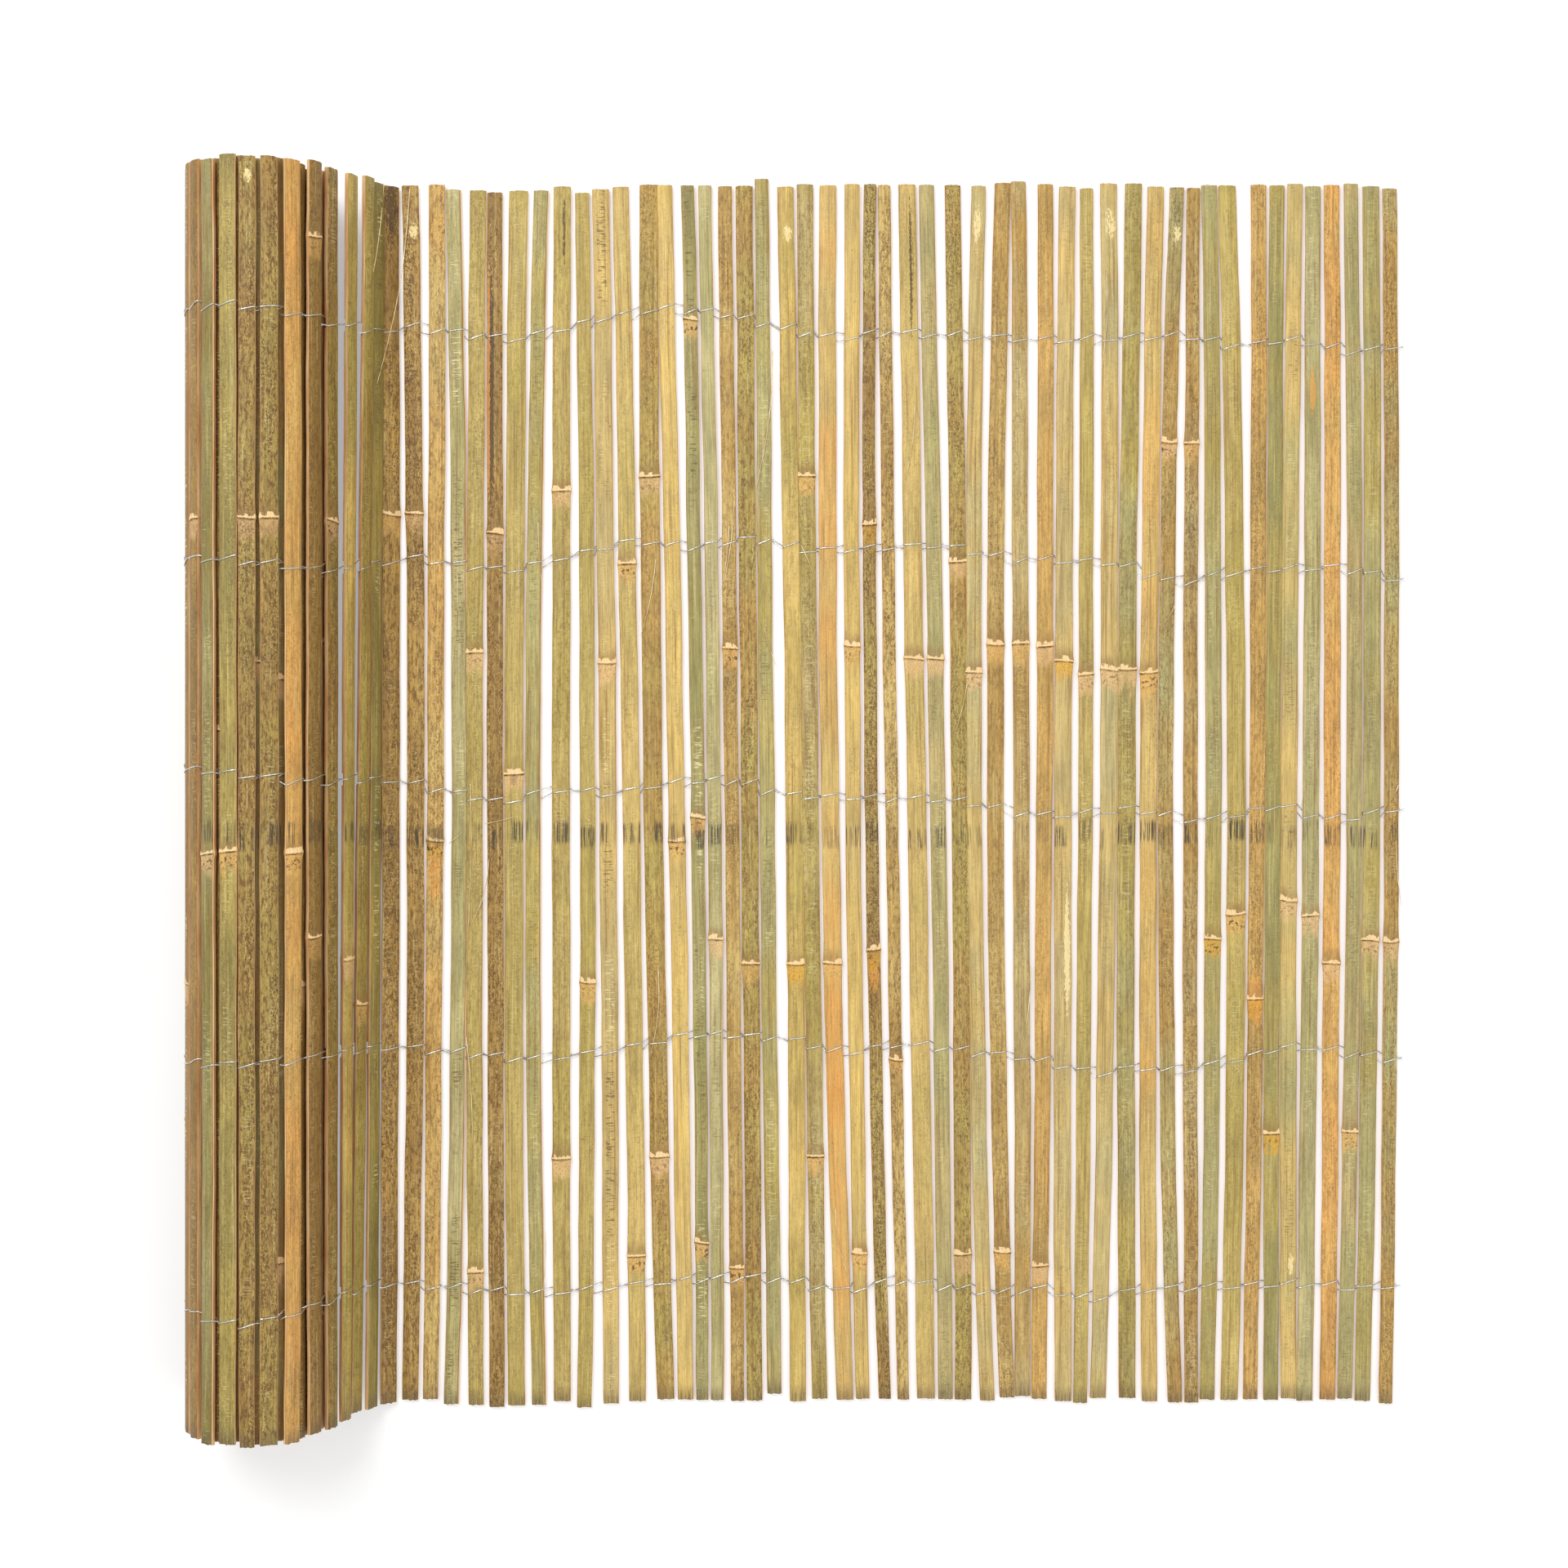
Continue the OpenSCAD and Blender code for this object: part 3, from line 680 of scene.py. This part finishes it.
def bamboo_material():
    m = Nodes("bamboo_skin")
    across, along, seed = m.attr("across"), m.attr("along"), m.attr("seed")
    at = m.join(across, along, m.math("MULTIPLY", seed, 7.0))
    ring, side, mottle = m.attr("ring"), m.attr("side"), m.attr("mottle")
    fibre = m.noise(at, (1.7, 0.02, 1), 4, 0.65)
    hair = m.noise(at, (5.0, 0.09, 1), 2, 0.6)
    streak = m.noise(at, (0.55, 0.008, 1), 3, 0.55)
    cloud = m.noise(at, (0.22, 0.03, 1), 4, 0.6)
    grit = m.noise(at, (0.95, 0.5, 1), 5, 0.75)
    colour = m.mix(1.0, m.attr("tint", True), m.grey(m.ramp(cloud, 0.25, 0.75, 0.84, 1.16)), "MULTIPLY")
    colour = m.mix(1.0, colour, m.grey(m.ramp(fibre, 0.28, 0.72, 0.78, 1.2)), "MULTIPLY")
    colour = m.mix(1.0, colour, m.grey(m.ramp(hair, 0.3, 0.7, 0.9, 1.1)), "MULTIPLY")
    colour = m.mix(m.ramp(streak, 0.53, 0.7, 0.0, 0.6), colour, linear((134, 98, 50)))
    colour = m.mix(m.ramp(streak, 0.45, 0.26, 0.0, 0.5), colour, linear((212, 190, 128)))
    # Pale and brown freckles, thick on the mottled slats
    patch = m.ramp(m.noise(at, (0.14, 0.012, 1), 2, 0.5), 0.4, 0.62, 0.3, 1.0)
    dense = m.math("MULTIPLY", patch, m.math("ADD", m.math("MULTIPLY", mottle, 1.0), 0.2))
    smudge = m.ramp(m.noise(at, (0.5, 0.14, 1), 5, 0.7), 0.46, 0.62)
    colour = m.mix(m.math("MULTIPLY", m.math("MULTIPLY", smudge, mottle), 0.9), colour, linear((102, 70, 28)))
    freckle = m.math("MULTIPLY", m.ramp(grit, 0.53, 0.6), dense)
    colour = m.mix(m.math("MULTIPLY", freckle, 0.95), colour, linear((88, 62, 30)))
    fleck = m.math("MULTIPLY", m.ramp(grit, 0.42, 0.35), dense)
    colour = m.mix(m.math("MULTIPLY", fleck, 0.75), colour, linear((206, 182, 112)))
    # Single dark specks
    speck = m.ramp(m.noise(at, (0.8, 0.3, 1), 4, 0.75), 0.6, 0.68)
    speck = m.math("MULTIPLY", speck, m.ramp(m.noise(at, (0.1, 0.02, 1), 2, 0.6), 0.45, 0.6, 0.1, 0.8))
    colour = m.mix(speck, colour, linear((96, 68, 34)))
    # Short ladder ticks along the middle
    dash = m.ramp(m.noise(at, (0.16, 0.85, 1), 2, 0.5), 0.56, 0.62)
    inner = m.ramp(m.math("ABSOLUTE", across), 2.4, 5.0, 1.0, 0.0)
    where = m.ramp(m.noise(at, (0.04, 0.014, 1), 1, 0.5), 0.42, 0.56)
    tick = m.math("MULTIPLY", m.math("MULTIPLY", dash, inner), m.math("MULTIPLY", where, m.attr("ticks")))
    tick_tone = m.mix(m.ramp(m.noise(at, (0.01, 0.005, 1), 1, 0.5), 0.48, 0.52), linear((104, 82, 44)),
                      linear((216, 204, 150)))
    colour = m.mix(m.math("MULTIPLY", tick, 0.9), colour, tick_tone)
    # Marks on single slats
    rough_edge = m.noise(at, (0.9, 0.3, 1), 4, 0.7)
    for name, tone, most in (("pale", (228, 206, 148), 0.9), ("dark", (78, 56, 32), 0.85), ("warm", (220, 150, 66), 0.6)):
        field = m.math("ADD", m.attr(name), m.math("MULTIPLY", m.math("SUBTRACT", rough_edge, 0.5), 2.4))
        mask = m.math("MULTIPLY", m.ramp(field, 0.35, 0.6), m.ramp(m.attr(name), 0.02, 0.12, 0.0, most))
        colour = m.mix(mask, colour, linear(tone))
    # The culm's nodes: a torn pale ridge over a dark line, peach or yellow wax with brown specks below
    reach = m.ramp(m.attr("reach"), 38, 30)
    torn = m.noise(at, (0.2, 0.1, 1), 2, 0.5)
    loose = m.math("ADD", ring, m.math("MULTIPLY", m.math("SUBTRACT", rough_edge, 0.5), 3.0))
    above = m.math("MULTIPLY", m.math("MULTIPLY", m.ramp(loose, 15, 3), m.ramp(loose, 0.2, 1.5)), reach)
    colour = m.mix(m.math("MULTIPLY", above, m.ramp(cloud, 0.4, 0.6, 0.25, 0.75)), colour, linear((138, 106, 58)))
    ragged = m.math("ADD", loose, m.math("MULTIPLY", m.math("SUBTRACT", torn, 0.5), 26.0))
    below = m.math("MULTIPLY", m.math("MULTIPLY", m.ramp(ragged, -20, -9), m.ramp(ring, -0.8, -1.6)), reach)
    peach = m.mix(m.attr("wax"), linear((222, 184, 128)), linear((218, 166, 48)))
    fade = m.math("MULTIPLY", m.ramp(cloud, 0.3, 0.7, 0.45, 0.8), m.ramp(mottle, 0.3, 1.0, 1.0, 0.6))
    colour = m.mix(m.math("MULTIPLY", below, fade), colour, peach)
    crumb = m.ramp(m.noise(at, (1.3, 1.0, 1), 4, 0.7), 0.52, 0.6)
    colour = m.mix(m.math("MULTIPLY", m.math("MULTIPLY", crumb, below), 0.75), colour, linear((142, 88, 46)))
    blotch = m.ramp(m.noise(at, (0.42, 0.34, 1), 3, 0.6), 0.53, 0.6)
    blotch = m.math("MULTIPLY", m.math("MULTIPLY", blotch, m.ramp(loose, -16, -9)), m.ramp(loose, -2.5, -6))
    blotch = m.math("MULTIPLY", m.math("MULTIPLY", blotch, m.attr("scab")), reach)
    colour = m.mix(m.math("MULTIPLY", blotch, 0.9), colour, linear((72, 44, 26)))
    tear = m.noise(at, (0.7, 0.5, 1), 3, 0.6)
    wobble = m.math("ADD", ring, m.math("MULTIPLY", m.math("SUBTRACT", tear, 0.5), 2.2))
    line = m.math("MULTIPLY", m.math("MULTIPLY", m.ramp(wobble, -2.1, -1.5), m.ramp(wobble, -0.3, -0.9)), reach)
    colour = m.mix(m.math("MULTIPLY", line, m.ramp(torn, 0.35, 0.6, 0.95, 0.4)), colour, linear((96, 62, 32)))
    crown = m.math("SUBTRACT", wobble, m.math("MULTIPLY", m.ramp(torn, 0.44, 0.62), 3.2))
    crest = m.math("MULTIPLY", m.math("MULTIPLY", m.ramp(crown, 1.3, 0.5), m.ramp(wobble, -0.7, -0.2)), reach)
    ridge = m.mix(m.ramp(hair, 0.35, 0.65), linear((222, 176, 120)), linear((240, 216, 164)))
    colour = m.mix(m.math("MULTIPLY", crest, 0.92), colour, ridge)
    # A band of rain stains across the sheet, and grey streaks at the lower ends
    line = m.ramp(m.noise(at, (1.1, 0.025, 1), 2, 0.6), 0.44, 0.56)
    part = m.ramp(m.noise(at, (0.16, 0.004, 1), 1, 0.5), 0.38, 0.46)
    level = m.math("ADD", m.math("ADD", along, m.attr("slip")),
                   m.math("MULTIPLY", m.math("SUBTRACT", hair, 0.5), 8.0))
    stain = m.math("MULTIPLY", m.ramp(level, -44, -39), m.ramp(level, -22, -28))
    stain = m.math("MULTIPLY", m.math("MULTIPLY", m.math("MULTIPLY", line, part), stain), m.attr("stain"))
    colour = m.mix(m.math("MULTIPLY", stain, 0.9), colour, linear((52, 44, 38)))
    end = m.ramp(m.attr("foot_end"), 16, 2)
    colour = m.mix(m.math("MULTIPLY", end, m.ramp(fibre, 0.42, 0.58, 0.1, 0.85)), colour, linear((90, 74, 52)))
    # Split wood at the sides, feet and cut ends, behind a dark line of painted shade at the top of the side, just
    # under the skin's edge
    wood = m.mix(m.ramp(fibre, 0.3, 0.7), linear((196, 138, 88)), linear((228, 190, 138)))
    colour = m.mix(m.math("MULTIPLY", m.ramp(side, 0.06, 0.2), m.ramp(side, 0.55, 0.3)), colour,
                   linear((112, 82, 46)))
    colour = m.mix(m.ramp(side, 0.35, 0.6, 0.0, 0.95), colour, wood)
    m.put(m.shader.inputs["Base Color"], colour)
    m.put(m.shader.inputs["Roughness"], m.math("ADD", m.ramp(cloud, 0.3, 0.7, 0.44, 0.58),
                                              m.math("MULTIPLY", side, 0.25)))
    m.shader.inputs["Specular IOR Level"].default_value = 0.35
    height = m.math("ADD", fibre, m.math("MULTIPLY", m.math("ADD", tick, freckle), 0.4))
    m.bump(height, 0.0003, 0.8)
    return m.material


def wire_material():
    m = Nodes("galvanised_wire")
    geo = m.tree.nodes.new("ShaderNodeNewGeometry")
    dull = m.noise(geo.outputs["Position"], (900, 900, 900), 3, 0.6)
    colour = m.mix(m.ramp(dull, 0.35, 0.7), linear((226, 226, 222)), linear((170, 170, 166)))
    m.put(m.shader.inputs["Base Color"], colour)
    m.put(m.shader.inputs["Roughness"], m.ramp(dull, 0.3, 0.7, 0.28, 0.5))
    m.shader.inputs["Metallic"].default_value = 1.0
    m.bump(dull, 0.00006, 0.5)
    return m.material


def fibre_material():
    m = Nodes("loose_fibre")
    geo = m.tree.nodes.new("ShaderNodeNewGeometry")
    tone = m.noise(geo.outputs["Position"], (260, 60, 260), 3, 0.6)
    m.put(m.shader.inputs["Base Color"], m.mix(m.ramp(tone, 0.35, 0.65), linear((232, 218, 176)),
                                               linear((190, 158, 106))))
    m.put(m.shader.inputs["Roughness"], m.ramp(tone, 0.3, 0.7, 0.5, 0.7))
    return m.material


def floor_material():
    m = Nodes("pale_floor")
    geo = m.tree.nodes.new("ShaderNodeNewGeometry")
    tone = m.noise(geo.outputs["Position"], (3, 3, 3), 2, 0.5)
    m.put(m.shader.inputs["Base Color"], m.mix(tone, (0.93, 0.93, 0.93), (0.95, 0.95, 0.95)))
    m.shader.inputs["Roughness"].default_value = 0.8
    m.shader.inputs["Specular IOR Level"].default_value = 0.1
    white = m.tree.nodes.new("ShaderNodeEmission")
    white.inputs["Strength"].default_value = 1.0
    seen = m.tree.nodes.new("ShaderNodeLightPath")
    both = m.tree.nodes.new("ShaderNodeMixShader")
    m.put(both.inputs[0], m.math("MULTIPLY", seen.outputs["Is Camera Ray"], 0.35))
    m.tree.links.new(m.shader.outputs[0], both.inputs[1])
    m.tree.links.new(white.outputs[0], both.inputs[2])
    m.tree.links.new(both.outputs[0], m.out.inputs[0])
    return m.material


# ---------------------------------------------------------------- build
slats = read_slats()
row_places(slats)
dress(slats)
bamboo = bamboo_material()
for node in FLAT_NODES + ROLL_NODES:
    own = [slat_mesh(s) for s in slats if s["group"] == node]
    piece = make_piece("bamboo_" + node, own, bamboo)
    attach(piece, "root")
    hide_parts(node)

wire = wire_material()
for row, node in enumerate(WIRE_NODES):
    strands = []
    for side in (0, 1):
        path = catmull(strand_points(slats, row, side), 2)
        verts, faces = tube(path, STRAND_R)
        strands.append((verts, faces, {}))
    piece = make_piece("twisted_" + node, strands, wire, 60)
    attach(piece, "root")
    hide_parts(node)

fibres = make_piece("loose_fibres", [fibre_strand(slats, *row) for row in FIBRES], fibre_material(), 60)
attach(fibres, "root")


# ---------------------------------------------------------------- stage, light and camera
def area_light(name, at, aim, size, power, tone=(1, 1, 1)):
    data = bpy.data.lights.new(name, "AREA")
    data.shape = "SQUARE"
    data.size = size
    data.energy = power
    data.color = tone
    ob = bpy.data.objects.new(name, data)
    ob.location = at
    d = np.array(aim, float) - np.array(at, float)
    from mathutils import Vector
    ob.rotation_mode = "QUATERNION"
    ob.rotation_quaternion = Vector(d).to_track_quat("-Z", "Y")
    bpy.context.scene.collection.objects.link(ob)
    return ob


floor_mesh = bpy.data.meshes.new("floor")
reach = 8.0
floor_mesh.from_pydata([(-reach, -reach, -0.0004), (reach, -reach, -0.0004), (reach, reach, -0.0004),
                        (-reach, reach, -0.0004)], [], [(0, 1, 2, 3)])
floor_mesh.materials.append(floor_material())
floor = bpy.data.objects.new("floor", floor_mesh)
bpy.context.scene.collection.objects.link(floor)

area_light("key", (-1.2, 1.6, 2.6), (0, 0, 0), 1.6, 62)
area_light("fill", (1.8, -1.2, 2.6), (0, 0, 0), 2.4, 30)

world = bpy.data.worlds.new("world")
world.use_nodes = True
world.node_tree.nodes["Background"].inputs["Color"].default_value = (1, 1, 1, 1)
backdrop = world.node_tree.nodes["Background"]
seen = world.node_tree.nodes.new("ShaderNodeLightPath")
level = world.node_tree.nodes.new("ShaderNodeMath")
level.operation = "MULTIPLY_ADD"
world.node_tree.links.new(seen.outputs["Is Camera Ray"], level.inputs[0])
level.inputs[1].default_value, level.inputs[2].default_value = 0.25, 0.75
world.node_tree.links.new(level.outputs[0], backdrop.inputs["Strength"])
bpy.context.scene.world = world

camera_data = bpy.data.cameras.new("camera")
camera_data.sensor_width = SENSOR
camera_data.lens = CAM_H * SENSOR / (1920 * PX)
camera_data.clip_start, camera_data.clip_end = 0.05, 50
camera = bpy.data.objects.new("camera", camera_data)
camera.location = (CAM_X * MM, CAM_Y * MM, CAM_H * MM)
bpy.context.scene.collection.objects.link(camera)
bpy.context.scene.camera = camera
bpy.context.scene.view_settings.view_transform = "Standard"
